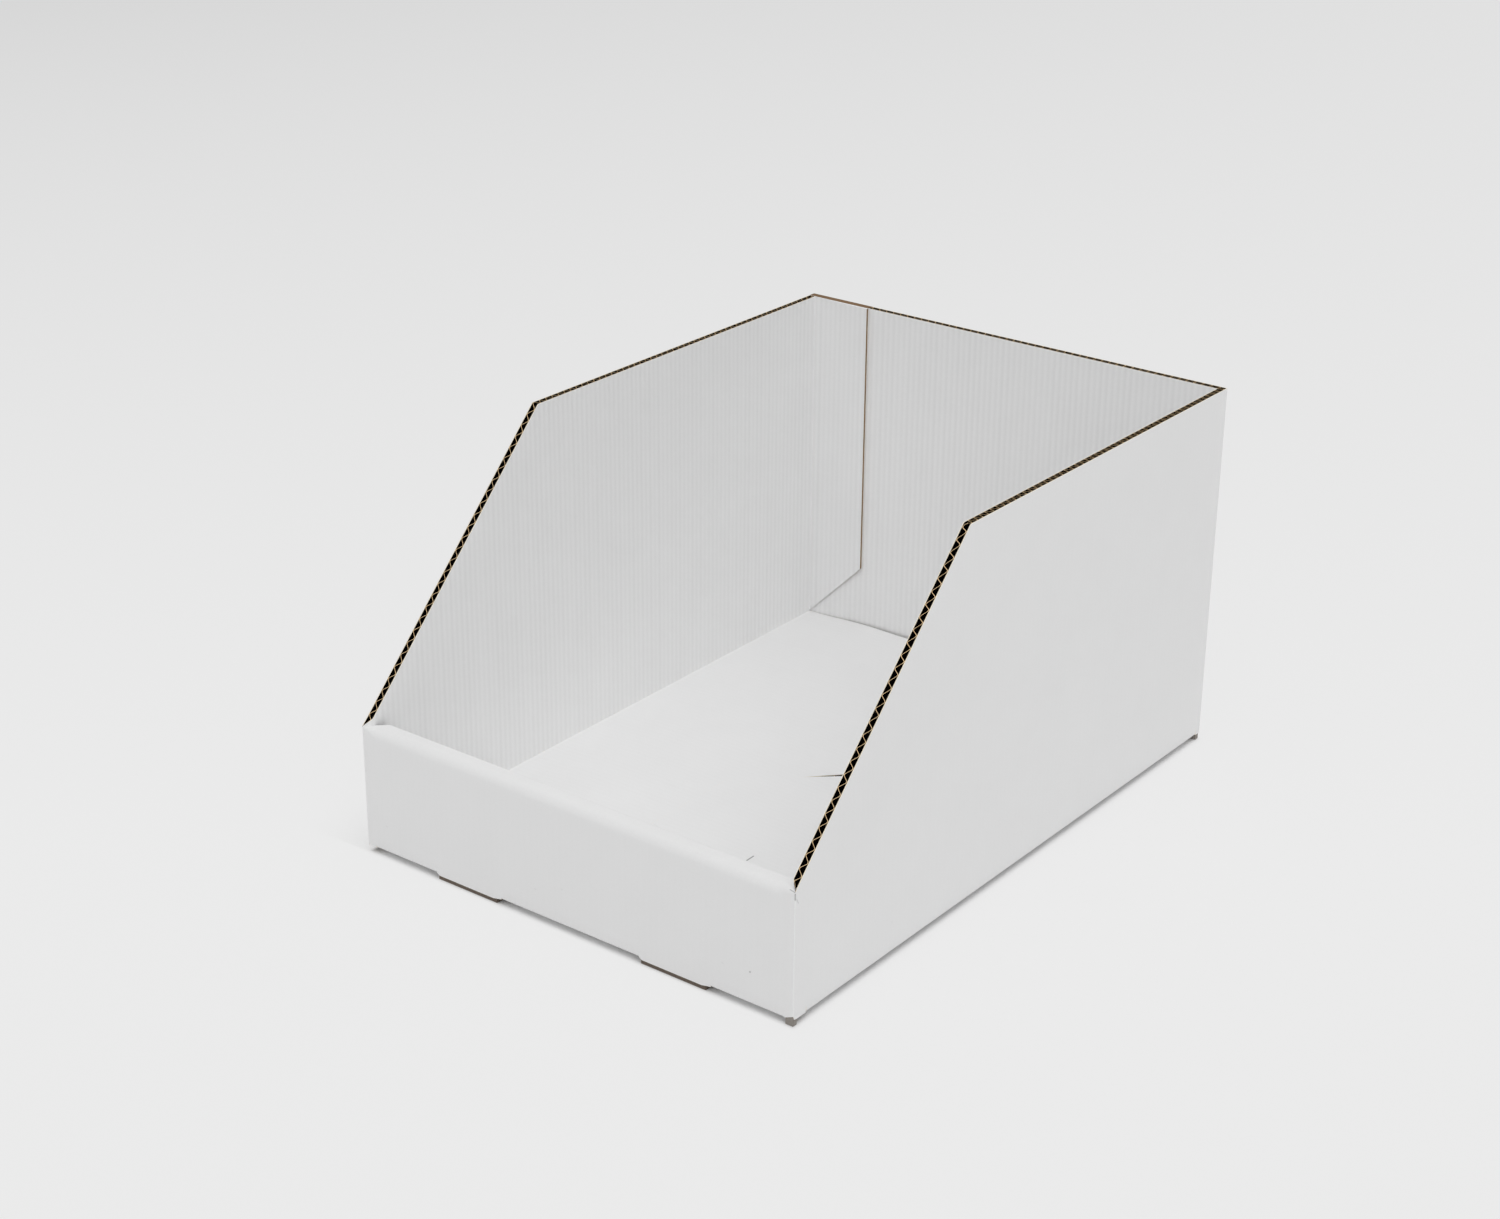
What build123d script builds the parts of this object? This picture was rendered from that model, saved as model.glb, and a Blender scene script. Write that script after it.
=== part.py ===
"""Open-front display box folded from one sheet of white-lined corrugated board, in millimetres."""

import os
from math import hypot

from build123d import *

os.makedirs("parts", exist_ok=True)

# Outside of the folded box: X is the width, Y runs from the front to the back, Z is up.
# The side walls stay level for level_top from the back, then slope down to the front.
box_width = 200.0
box_depth = 280.0
back_height = 152.0
front_height = 52.0
level_top = 180.0

# The board is a zigzag medium between two liners; its flutes stand upright in the walls
# and are open for flute_depth below every cut top edge.
liner = 0.4
flute_height = 2.4
medium = 0.3
flute_pitch = 3.5
flute_depth = 8.0

# Folds: outer radius, the uncut stretch at each bottom corner, and the room round what tucks in
fold_radius = 3.2
corner_relief = 4.0
tuck_clearance = 0.3
overrun = 1.0

# Front: the sheet rolls over the top of the front wall and tucks down behind it
roll_width = 10.0
roll_radius = 3.6
knee_height = 14.0
knee_radius = 12.0

# Two tabs of the tucked panel stand in slots at the bottom fold of the front wall
tab_offset = 48.5
slot_width = 32.0
lip_taper = 1.8

# Glue flap of the left wall, pressed thin and stuck to the inside of the back wall
joint_width = 30.0
joint_thickness = 2.2
joint_foot = 1.0
joint_groove = 2.4

# Base: the front and back flaps lie lowest, the side flaps step up over them and lock
# along a seam that runs slantwise through the middle and gapes behind lock_start
end_flap_depth = 72.0
lock_reach = 22.0
lock_start = 1.6
lock_opening = 4.0
seam_gap = 0.4
step_start = 2.0
step_run = 12.0
step_radius = 6.0
flap_draft = 2.4

# Outline of an end flap, from its glued side to its slanted side
glued_edge_share = 0.55
glued_corner_share = 0.45
slant_corner_share = 0.2

board = flute_height + 2 * liner
half_width = box_width / 2
half_depth = box_depth / 2
inside_x = half_width - board
inside_y = half_depth - board
slope_run = box_depth - level_top
slope_rise = back_height - front_height
slope_length = hypot(slope_run, slope_rise)
slope_top_y = half_depth - level_top
slope_per_run = slope_rise / slope_run
slope_stretch = slope_length / slope_run

# The tucked panel stands just behind the front wall, and the side flaps start behind it
foot_front_y = -inside_y + tuck_clearance
foot_back_y = foot_front_y + board
side_flap_front_y = foot_back_y + tuck_clearance
side_flap_back_y = inside_y - tuck_clearance
roll_half = inside_x - tuck_clearance
roll_start = front_height - roll_radius
end_flap_half = inside_x - step_start - step_run


def fold_section(start, inward, along):
    """What a bottom fold takes off a square outer edge: a square less the fold's round."""
    with BuildSketch(Plane(origin=start, x_dir=inward, z_dir=along)) as section:
        Rectangle(fold_radius, fold_radius, align=(Align.MIN, Align.MIN))
        with Locations((fold_radius, fold_radius)):
            Circle(fold_radius, mode=Mode.SUBTRACT)
    return section.sketch


def flute_ends(start, along, normal, length, stretch):
    """Open flute ends along a cut edge: triangles between the zigzag medium and each liner."""
    pitch = flute_pitch * stretch
    stroke = medium * hypot(flute_pitch / 2, flute_height) / flute_height
    base = flute_pitch - stroke
    height = base * flute_height / flute_pitch
    half_base = base * stretch / 2
    count = int(length / pitch)
    with BuildSketch(Plane(origin=start, x_dir=along, z_dir=normal)) as ends:
        with Locations((length / 2, liner)):
            with GridLocations(pitch, flute_pitch, count, 1):
                Polygon((-half_base, 0), (half_base, 0), (0, height), align=None)
        with Locations((length / 2, board - liner)):
            with GridLocations(pitch, flute_pitch, count - 1, 1):
                Polygon((half_base, 0), (-half_base, 0), (0, -height), align=None)
    return ends.sketch


def side_flap_section(side):
    """A side flap seen from the front: it leaves the wall at the table and steps up one board."""
    with BuildSketch(Plane.XZ.offset(half_depth)) as section:
        with BuildLine():
            FilletPolyline(
                (side * inside_x, board / 2),
                (side * (inside_x - step_start), board / 2),
                (side * (inside_x - step_start - step_run), board * 3 / 2),
                (-side * (lock_reach + overrun), board * 3 / 2),
                radius=step_radius,
            )
        trace(line_width=board)
    return section.sketch


def side_flap_plan(side, seam):
    """Outline of a side flap seen from above; its two free ends draw away from the end walls."""
    with BuildSketch() as plan:
        with BuildLine():
            Polyline(
                (side * inside_x, side_flap_front_y),
                (seam[0][0], side_flap_front_y + flap_draft),
                *seam,
                (seam[-1][0], side_flap_back_y - flap_draft),
                (side * inside_x, side_flap_back_y),
                close=True,
            )
        make_face()
    return plan.sketch


# Left side flap: it reaches past the middle over the back half of the base
left_seam = [
    (-lock_reach, -lock_reach),
    (lock_start, lock_start),
    (lock_reach, lock_reach + lock_opening),
]
with BuildPart() as left_flap:
    extrude(side_flap_section(-1), amount=-box_depth)
    extrude(side_flap_plan(-1, left_seam), amount=back_height, mode=Mode.INTERSECT)

# Right side flap: the same turned about, drawing away from the left one towards the back wall
right_seam = [
    (seam_gap - lock_reach, -lock_reach),
    (lock_start + seam_gap, lock_start),
    (lock_reach + seam_gap, lock_reach - lock_opening),
]
with BuildPart() as right_flap:
    extrude(side_flap_section(1), amount=-box_depth)
    extrude(side_flap_plan(1, right_seam), amount=back_height, mode=Mode.INTERSECT)

# Front base flap: glued under the left side flap; the back one is the same turned about
with BuildPart() as end_flap:
    with BuildSketch():
        with BuildLine():
            Polyline(
                (-end_flap_half, -inside_y),
                (-end_flap_half, -inside_y + end_flap_depth * glued_edge_share),
                (-end_flap_half * glued_corner_share, -inside_y + end_flap_depth),
                (end_flap_half * slant_corner_share, -inside_y + end_flap_depth),
                (end_flap_half, -inside_y),
                close=True,
            )
        make_face()
    extrude(amount=board)

with BuildPart() as display_box:
    # Four walls as one bent ring; the back left corner is square, where the back wall ends
    with BuildSketch() as ring:
        Rectangle(box_width, box_depth)
        front_corners = ring.vertices().group_by(Axis.Y)[0]
        back_right_corner = ring.vertices().group_by(Axis.Y)[-1].sort_by(Axis.X)[-1]
        fillet([*front_corners, back_right_corner], radius=fold_radius)
        Rectangle(2 * inside_x, 2 * inside_y, mode=Mode.SUBTRACT)
    extrude(amount=back_height)

    # Groove outside the glued corner, between the left wall's bend and the end of the back wall
    with BuildSketch():
        with Locations((-half_width, inside_y)):
            Rectangle(joint_groove, joint_groove, align=(Align.MIN, Align.MAX))
        with Locations((-half_width + joint_groove, inside_y - joint_groove)):
            Circle(joint_groove, mode=Mode.SUBTRACT)
    extrude(amount=back_height, mode=Mode.SUBTRACT)

    # Sloping cut from the front wall up to the level top of the sides
    with BuildSketch(Plane.YZ):
        with BuildLine():
            Polyline(
                (-half_depth - overrun, front_height - overrun * slope_per_run),
                (-half_depth - overrun, back_height + overrun),
                (slope_top_y + overrun / slope_per_run, back_height + overrun),
                close=True,
            )
        make_face()
    extrude(amount=half_width + overrun, both=True, mode=Mode.SUBTRACT)

    # Bottom folds of the front, right, back and left walls
    front_fold = box_width - 2 * corner_relief
    side_fold = box_depth - 2 * corner_relief
    back_fold = 2 * end_flap_half
    for start, inward, along, length in (
        ((-front_fold / 2, -half_depth, 0), (0, 1, 0), (1, 0, 0), front_fold),
        ((half_width, -side_fold / 2, 0), (-1, 0, 0), (0, 1, 0), side_fold),
        ((back_fold / 2, half_depth, 0), (0, -1, 0), (-1, 0, 0), back_fold),
        ((-half_width, side_fold / 2, 0), (1, 0, 0), (0, -1, 0), side_fold),
    ):
        extrude(fold_section(start, inward, along), amount=length, mode=Mode.SUBTRACT)

    # Base flaps, with a strip along the front fold as wide as the front wall
    add(end_flap.part)
    add(end_flap.part.rotate(Axis.Z, 180))
    add(left_flap.part)
    add(right_flap.part)
    with BuildSketch():
        with Locations((0, -inside_y)):
            Rectangle(front_fold, foot_back_y + inside_y, align=(Align.CENTER, Align.MIN))
    extrude(amount=board)

    # Slots in the front flap, and the straight cut lips that they leave on the front wall
    with BuildSketch():
        with Locations((-tab_offset, -inside_y), (tab_offset, -inside_y)):
            Rectangle(slot_width, board + 2 * tuck_clearance, align=(Align.CENTER, Align.MIN))
    extrude(amount=board, mode=Mode.SUBTRACT)
    with BuildSketch(Plane.XZ.offset(half_depth)):
        for centre in (-tab_offset, tab_offset):
            with BuildLine():
                Polyline(
                    (centre - slot_width / 2, fold_radius),
                    (centre - slot_width / 2 + lip_taper, 0),
                    (centre + slot_width / 2 - lip_taper, 0),
                    (centre + slot_width / 2, fold_radius),
                    close=True,
                )
            make_face()
    extrude(amount=-board)

    # The front wall's top is cut free of the corners and rolls over into the tucked panel
    with BuildSketch(Plane.XY.offset(roll_start)):
        with Locations((0, -half_depth)):
            Rectangle(2 * inside_x, board, align=(Align.CENTER, Align.MIN))
    extrude(amount=front_height, mode=Mode.SUBTRACT)
    with BuildSketch(Plane.YZ):
        foot_y = (foot_front_y + foot_back_y) / 2
        roll_back_y = -half_depth + roll_width - board / 2
        bend_radius = roll_radius - board / 2
        with BuildLine():
            FilletPolyline(
                (-half_depth + board / 2, roll_start - overrun),
                (-half_depth + board / 2, front_height - board / 2),
                (roll_back_y, front_height - board / 2),
                (foot_y, knee_height),
                (foot_y, board + tuck_clearance),
                radius=[bend_radius, bend_radius, knee_radius],
            )
        trace(line_width=board)
    extrude(amount=roll_half, both=True)
    with BuildSketch(Plane.XY.offset(tuck_clearance)):
        with Locations((-tab_offset, foot_y), (tab_offset, foot_y)):
            Rectangle(slot_width - 2 * tuck_clearance, board)
    extrude(amount=board + tuck_clearance)

    # Glue flap, cut off slantwise at its foot
    joint_low = board + joint_foot
    with BuildSketch(Plane.XZ.offset(-inside_y)):
        with BuildLine():
            Polyline(
                (-inside_x, joint_low),
                (-inside_x + joint_width, joint_low + joint_width),
                (-inside_x + joint_width, back_height),
                (-inside_x, back_height),
                close=True,
            )
        make_face()
    extrude(amount=joint_thickness)

    # Open flutes along the cut edges: level tops, slopes, and the back beyond the glue flap
    level_run = inside_y - slope_top_y
    slope_cut = (slope_run - board) * slope_stretch
    back_run = 2 * inside_x - joint_width
    slope_foot_z = front_height + board * slope_per_run
    up = (0, 0, 1)
    slope_up = (0, slope_run, slope_rise)
    slope_down = (0, -slope_run, -slope_rise)
    slope_out = (0, -slope_rise, slope_run)
    for start, along, normal, length, stretch in (
        ((half_width, -inside_y, slope_foot_z), slope_up, slope_out, slope_cut, slope_stretch),
        ((half_width, slope_top_y, back_height), (0, 1, 0), up, level_run, 1),
        ((inside_x, half_depth, back_height), (-1, 0, 0), up, back_run, 1),
        ((-half_width, inside_y, back_height), (0, -1, 0), up, level_run, 1),
        ((-half_width, slope_top_y, back_height), slope_down, slope_out, slope_cut, slope_stretch),
    ):
        ends = flute_ends(start, along, normal, length, stretch)
        extrude(ends, amount=flute_depth, dir=(0, 0, -1), mode=Mode.SUBTRACT)

display_box.part.label = "display_box"
export_step(display_box.part, "parts/display_box.step")
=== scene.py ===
from math import radians

import bpy
import numpy as np
from mathutils import Matrix, Vector


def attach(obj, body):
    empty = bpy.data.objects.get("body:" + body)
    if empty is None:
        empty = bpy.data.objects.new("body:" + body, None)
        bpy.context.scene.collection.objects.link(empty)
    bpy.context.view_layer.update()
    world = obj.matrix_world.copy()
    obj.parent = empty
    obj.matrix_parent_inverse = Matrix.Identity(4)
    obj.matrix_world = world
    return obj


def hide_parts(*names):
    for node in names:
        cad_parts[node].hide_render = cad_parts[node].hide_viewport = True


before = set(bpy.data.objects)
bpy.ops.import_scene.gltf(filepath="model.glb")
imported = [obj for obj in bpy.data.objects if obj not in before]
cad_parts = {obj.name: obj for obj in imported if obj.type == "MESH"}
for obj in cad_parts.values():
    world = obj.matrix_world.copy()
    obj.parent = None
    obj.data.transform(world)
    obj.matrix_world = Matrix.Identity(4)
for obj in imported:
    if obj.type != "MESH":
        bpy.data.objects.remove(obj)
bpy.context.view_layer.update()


# Right and back walls. Two panels of one sheet of white-lined corrugated board, die-cut and bent at
# the corners. Each wall is two paper liners with a wavy medium glued between them; the flutes stand
# upright, so they are open along the sloping and level cut edges on top.
MM = 0.001
OUT_X = 100.0
OUT_Y = 140.0
BACK_HEIGHT = 152.0
FRONT_HEIGHT = 52.0
SLOPE_TOP = -42.0
BOARD = 3.2
LINER = 0.34
MEDIUM = 0.22
FLUTE_PITCH = 3.5
SAMPLES_PER_FLUTE = 8
FLUTE_SHARPNESS = 0.96
LONG_DRIFT = 0.30
LONG_DRIFT_LENGTH = 19.0
SHORT_DRIFT = 0.22
SHORT_DRIFT_LENGTH = 6.1
SHORT_DRIFT_START = 1.3
GLUE_OVERLAP = 0.003
RIB_PITCH = 2.75
RIB_SEED = 5
RIB_COUNT = 400
SHALLOWEST_RIB = 0.65
RIB_SHADE = 0.75
CREASE_OUT = 0.4
CREASE_IN = 0.15
CREASE_STEPS = 13
SHARP_ANGLE = 38
INSIDE_X = OUT_X - BOARD
INSIDE_Y = OUT_Y - BOARD

WHITE_SKIN, CUT_LINER, CUT_MEDIUM, FLUTE_PAINTED_SHADE, GLUED_EDGE, RAW_EDGE_AND_SHADE, CORNER_EDGE_AND_SHADE = range(7)


def sheet(lower, upper, skins, ribs):
    """Closed sheet between two grids of points: upper grid, lower grid turned over, and four edges.

    The upper grid faces along u x v. skins gives the finish of upper, lower, u start, u end,
    v start and v end, each as one number or one for every face of that part. ribs gives how deep
    the lower and the upper grid lie between the glue lines, for the painted rib shade.
    """
    rows, columns = lower.shape[:2]
    low = np.arange(rows * columns).reshape(rows, columns)
    top = low + rows * columns
    corners = [
        (top[:-1, :-1], top[1:, :-1], top[1:, 1:], top[:-1, 1:]),
        (low[:-1, :-1], low[:-1, 1:], low[1:, 1:], low[1:, :-1]),
        (low[0, :-1], top[0, :-1], top[0, 1:], low[0, 1:]),
        (low[-1, :-1], low[-1, 1:], top[-1, 1:], top[-1, :-1]),
        (low[:-1, 0], low[1:, 0], top[1:, 0], top[:-1, 0]),
        (low[:-1, -1], top[:-1, -1], top[1:, -1], low[1:, -1]),
    ]
    faces = [np.stack(quad, axis=-1).reshape(-1, 4) for quad in corners]
    finish = [np.broadcast_to(skin, len(part)) for skin, part in zip(skins, faces)]
    points = np.concatenate([lower.reshape(-1, 3), upper.reshape(-1, 3)])
    depth = [np.broadcast_to(rib, (rows, columns)).ravel() for rib in ribs]
    return points, np.concatenate(faces), np.concatenate(finish), np.concatenate(depth)


def corrugated(surface, across, crush, reliefs, core_edges, liner_edges):
    """The three closed sheets of a board: inner liner, medium and outer liner.

    surface(share) is the grid at a share of the way from the board's inside to its outside. The
    medium swings as arcsin(k sin(phase)) with k just under 1, a zigzag with rounded tips, and its
    phase drifts a little; where crush is 1 it fills the board. Between its glue lines a liner sinks
    in by its relief times a chance share for each rib. The edges are finishes for u start, u end,
    v start and v end.
    """
    drift = LONG_DRIFT * np.sin(across / LONG_DRIFT_LENGTH)
    drift = drift + SHORT_DRIFT * np.sin(across / SHORT_DRIFT_LENGTH + SHORT_DRIFT_START)
    phase = 2 * np.pi * across / FLUTE_PITCH + drift
    wave = np.arcsin(FLUTE_SHARPNESS * np.sin(phase)) / np.arcsin(FLUTE_SHARPNESS)
    skin = LINER / BOARD
    stroke = MEDIUM / BOARD / 2
    swing = 0.5 - skin - stroke
    centre = 0.5 + swing * wave * (1 - crush)
    half = stroke + swing * crush + GLUE_OVERLAP
    rib = across / RIB_PITCH
    swell = np.sin(2 * np.pi * rib)
    chance = np.random.default_rng(RIB_SEED).uniform(SHALLOWEST_RIB, 1.0, RIB_COUNT)
    sunk_in = reliefs[0] * chance[np.floor(rib + 0.25).astype(int)] * (1 + swell) / 2
    sunk_out = reliefs[1] * chance[np.floor(rib - 0.25).astype(int)] * (1 - swell) / 2
    # The faces inside the board are painted near black: painted shade for the hollows of the flutes.
    inner = [FLUTE_PAINTED_SHADE, WHITE_SKIN] + liner_edges
    core = [FLUTE_PAINTED_SHADE, FLUTE_PAINTED_SHADE] + core_edges
    outer = [WHITE_SKIN, FLUTE_PAINTED_SHADE] + liner_edges
    return [
        sheet(surface(sunk_in / BOARD), surface(skin), inner, (sunk_in, 0.0)),
        sheet(surface(centre - half), surface(centre + half), core, (0.0, 0.0)),
        sheet(surface(1 - skin), surface(1 - sunk_out / BOARD), outer, (0.0, sunk_out)),
    ]


def arc(middle, radius, start, end):
    """Points on a circle from one bearing to another, in degrees."""
    turn = np.radians(np.linspace(start, end, CREASE_STEPS))
    return np.array(middle) + radius * np.stack([np.cos(turn), np.sin(turn)], axis=1)


def joined(parts):
    """One line from parts that each begin where the last one ends."""
    return np.concatenate(parts[:1] + [part[1:] for part in parts[1:]])


def walked(inside, outside):
    """Length walked along the middle between two lines, at each of their points."""
    steps = np.linalg.norm(np.diff((inside + outside) / 2, axis=0), axis=1)
    return np.concatenate([[0], np.cumsum(steps)])[:, None]


def wall_top(y):
    """Height of the cut edge: about 45 degrees up from the front crease, then level."""
    rise = (BACK_HEIGHT - FRONT_HEIGHT) / (SLOPE_TOP + OUT_Y)
    return np.minimum(BACK_HEIGHT, FRONT_HEIGHT + rise * (y + OUT_Y))


def upright(inside, outside, foot, rows):
    """A bent wall: a share of the way from its inside to its outside line, from foot to cut edge."""
    up = np.linspace(0, 1, rows)[None, :]

    def surface(share):
        plan = inside[:, None, :] + (outside - inside)[:, None, :] * np.asarray(share)[..., None]
        height = foot + (wall_top(plan[..., 1]) - foot) * up
        flat = np.broadcast_to(plan, (len(inside), rows, 2))
        return np.concatenate([flat, height[..., None]], axis=-1)

    return surface


def board_piece(name, sheets):
    """One mesh object from closed sheets, in metres, smooth where the surface bends softly."""
    counts = np.cumsum([0] + [len(part[0]) for part in sheets])
    points = np.concatenate([part[0] for part in sheets]) * MM
    faces = np.concatenate([part[1] + first for part, first in zip(sheets, counts)])
    finish = np.concatenate([part[2] for part in sheets])
    ribs = np.concatenate([part[3] for part in sheets])
    mesh = bpy.data.meshes.new(name)
    mesh.from_pydata(points.tolist(), [], faces.tolist())
    for material in BOARD_FINISHES:
        mesh.materials.append(material)
    mesh.attributes.new("rib", "FLOAT", "POINT").data.foreach_set("value", ribs.astype(np.float32))
    mesh.polygons.foreach_set("material_index", finish.astype(np.int32))
    mesh.polygons.foreach_set("use_smooth", np.ones(len(faces), bool))
    mesh.set_sharp_from_angle(angle=radians(SHARP_ANGLE))
    mesh.update()
    piece = bpy.data.objects.new(name, mesh)
    bpy.context.scene.collection.objects.link(piece)
    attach(piece, "root")
    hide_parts("display_box")


def math_node(tree, operation, *values):
    """A math node fed by plain numbers or by other nodes' outputs; gives its own output."""
    node = tree.nodes.new("ShaderNodeMath")
    node.operation = operation
    for entry, value in zip(node.inputs, values):
        if isinstance(value, bpy.types.NodeSocket):
            tree.links.new(value, entry)
        else:
            entry.default_value = value
    return node.outputs[0]


def paper_group():
    """Cloudy paper: a soft cloud and a fine fibre noise shade one colour; the fibres also raise it."""
    group = bpy.data.node_groups.new("paper_fibres", "ShaderNodeTree")
    group.interface.new_socket("Paper", in_out="INPUT", socket_type="NodeSocketColor")
    group.interface.new_socket("Cloud", in_out="INPUT", socket_type="NodeSocketFloat")
    group.interface.new_socket("Fibre", in_out="INPUT", socket_type="NodeSocketFloat")
    group.interface.new_socket("Color", in_out="OUTPUT", socket_type="NodeSocketColor")
    group.interface.new_socket("Roughness", in_out="OUTPUT", socket_type="NodeSocketFloat")
    group.interface.new_socket("Height", in_out="OUTPUT", socket_type="NodeSocketFloat")
    nodes = group.nodes
    link = group.links.new
    given = nodes.new("NodeGroupInput")
    result = nodes.new("NodeGroupOutput")
    place = nodes.new("ShaderNodeTexCoord")
    cloud = nodes.new("ShaderNodeTexNoise")
    cloud.inputs["Scale"].default_value = 55.0
    cloud.inputs["Detail"].default_value = 4.0
    fibre = nodes.new("ShaderNodeTexNoise")
    fibre.inputs["Scale"].default_value = 1400.0
    fibre.inputs["Detail"].default_value = 3.0
    link(place.outputs["Object"], cloud.inputs["Vector"])
    link(place.outputs["Object"], fibre.inputs["Vector"])
    shades = []
    for noise, amount in ((cloud, "Cloud"), (fibre, "Fibre")):
        centred = math_node(group, "SUBTRACT", noise.outputs["Fac"], 0.5)
        shades.append(math_node(group, "MULTIPLY", centred, given.outputs[amount]))
    factor = math_node(group, "ADD", math_node(group, "ADD", *shades), 1.0)
    tint = nodes.new("ShaderNodeVectorMath")
    tint.operation = "SCALE"
    link(given.outputs["Paper"], tint.inputs[0])
    link(factor, tint.inputs["Scale"])
    link(tint.outputs[0], result.inputs["Color"])
    rough = nodes.new("ShaderNodeMapRange")
    rough.inputs["To Min"].default_value = 0.62
    rough.inputs["To Max"].default_value = 0.78
    link(fibre.outputs["Fac"], rough.inputs["Value"])
    link(rough.outputs[0], result.inputs["Roughness"])
    link(fibre.outputs["Fac"], result.inputs["Height"])
    return group


def linear(red, green, blue):
    """A colour written as 0 to 255 screen values, as the shader's linear values."""
    screen = np.array([red, green, blue]) / 255.0
    light = np.where(screen <= 0.04045, screen / 12.92, ((screen + 0.055) / 1.055) ** 2.4)
    return (*light.tolist(), 1.0)


PAPER = paper_group()


def paper_material(name, colour, cloud, fibre, depth):
    """Paper of one colour with its own cloud, fibre and depth of fibre relief in metres."""
    material = bpy.data.materials.new(name)
    material.use_nodes = True
    tree = material.node_tree
    shader = tree.nodes["Principled BSDF"]
    shader.inputs["Specular IOR Level"].default_value = 0.25
    paper = tree.nodes.new("ShaderNodeGroup")
    paper.node_tree = PAPER
    paper.inputs["Paper"].default_value = colour
    paper.inputs["Cloud"].default_value = cloud
    paper.inputs["Fibre"].default_value = fibre
    relief = tree.nodes.new("ShaderNodeBump")
    relief.inputs["Strength"].default_value = 0.5
    relief.inputs["Distance"].default_value = depth
    tree.links.new(paper.outputs["Color"], shader.inputs["Base Color"])
    tree.links.new(paper.outputs["Roughness"], shader.inputs["Roughness"])
    tree.links.new(paper.outputs["Height"], relief.inputs["Height"])
    tree.links.new(relief.outputs["Normal"], shader.inputs["Normal"])
    return material


white_liner = paper_material("white_liner", linear(248, 248, 248), 0.03, 0.05, 0.00003)
cut_liner = paper_material("cut_liner_edge", linear(255, 244, 224), 0.2, 0.3, 0.00004)
cut_medium = paper_material("cut_medium_edge", linear(255, 220, 170), 0.3, 0.3, 0.00004)
# The flute material is painted near black: painted shade for the flute hollows, whose medium is really
# tan.
flute_shade = paper_material("flute_painted_shade", linear(6, 3, 1), 0.3, 0.3, 0.00004)
glued_edge = paper_material("glued_edge", linear(130, 102, 72), 0.4, 0.4, 0.00004)
# Lip block colour: the raw brown edge darkened with painted shade of the gap under the lips.
raw_edge_and_shade = paper_material("raw_edge_and_shade", linear(112, 100, 90), 0.4, 0.4, 0.00004)
# Corner block colour: raw edge greyed with painted shade of the gap under the lifted corners.
corner_edge_and_shade = paper_material("corner_foot", linear(152, 146, 140), 0.4, 0.4, 0.00004)
flute_shade.node_tree.nodes["Principled BSDF"].inputs["Specular IOR Level"].default_value = 0.0
BOARD_FINISHES = [white_liner, cut_liner, cut_medium, flute_shade, glued_edge, raw_edge_and_shade, corner_edge_and_shade]


def paint_rib_shade(material, amount):
    """Painted shade: darkens the paper a little where it lies sunk between the glue lines of the flutes,
    standing in for the shading of that washboard relief.
    """
    tree = material.node_tree
    shader = tree.nodes["Principled BSDF"]
    paper = shader.inputs["Base Color"].links[0].from_socket
    rib = tree.nodes.new("ShaderNodeAttribute")
    rib.attribute_name = "rib"
    shade = math_node(tree, "MULTIPLY_ADD", rib.outputs["Fac"], -amount, 1.0)
    tint = tree.nodes.new("ShaderNodeVectorMath")
    tint.operation = "SCALE"
    tree.links.new(paper, tint.inputs[0])
    tree.links.new(shade, tint.inputs["Scale"])
    tree.links.new(tint.outputs[0], shader.inputs["Base Color"])


paint_rib_shade(white_liner, RIB_SHADE)

RIGHT_LIFT = 2.6
FRONT_LIFT = 2.5
BACK_LIFT = 1.6
CORNER_LIFT = 4.2
CORNER_RUN = 2.6
FOLD_CREASE = 0.2
RIGHT_FOLD_TOP = RIGHT_LIFT + BOARD + FOLD_CREASE
BACK_FOLD_TOP = BACK_LIFT + BOARD + FOLD_CREASE
TUCK_ROOM = 0.3
FLAP_FRONT = -INSIDE_Y + BOARD + 3 * TUCK_ROOM
FLAP_PLAY = 0.1
FLAP_BACK = INSIDE_Y - FLAP_PLAY
END_FLAP_INSET = 14.0
END_FLAP_HALF = INSIDE_X - END_FLAP_INSET
GLUED_WIDTH = 27.6
PRESS_RUN = 0.6
INSIDE_RELIEF = 0.08
OUTSIDE_RELIEF = 0.008
WALL_ROWS = 6
TIP_THICK = 0.12
TIP_LENGTH = 3.0
side_steps = int(2 * OUT_Y / FLUTE_PITCH * SAMPLES_PER_FLUTE)
back_steps = int(2 * OUT_X / FLUTE_PITCH * SAMPLES_PER_FLUTE)
straight_y = -OUT_Y + CREASE_OUT
full_y = -OUT_Y + TIP_LENGTH
side_y = np.linspace(straight_y, -straight_y, side_steps)
tip_steps = CREASE_STEPS + np.count_nonzero(side_y < full_y)
full_steps = side_steps + CREASE_STEPS - tip_steps
outside = joined([
    arc((OUT_X - CREASE_OUT, straight_y), CREASE_OUT, -45, 0),
    np.linspace((OUT_X, straight_y), (OUT_X, -straight_y), side_steps),
    arc((OUT_X - CREASE_OUT, -straight_y), CREASE_OUT, 0, 90),
    np.linspace((OUT_X - CREASE_OUT, OUT_Y), (-OUT_X, OUT_Y), back_steps),
])
inside = joined([
    np.linspace(outside[0] + (-TIP_THICK, TIP_THICK), (INSIDE_X, full_y), tip_steps),
    np.linspace((INSIDE_X, full_y), (INSIDE_X, INSIDE_Y - CREASE_IN), full_steps),
    arc((INSIDE_X - CREASE_IN, INSIDE_Y - CREASE_IN), CREASE_IN, 0, 90),
    np.linspace((INSIDE_X - CREASE_IN, INSIDE_Y), (-OUT_X, INSIDE_Y), back_steps),
])
on_side = (outside[:, 1:] > FLAP_FRONT) & (outside[:, 1:] < FLAP_BACK)
on_back = (np.abs(outside[:, :1]) < END_FLAP_HALF) & (outside[:, 1:] > FLAP_BACK)
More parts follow.
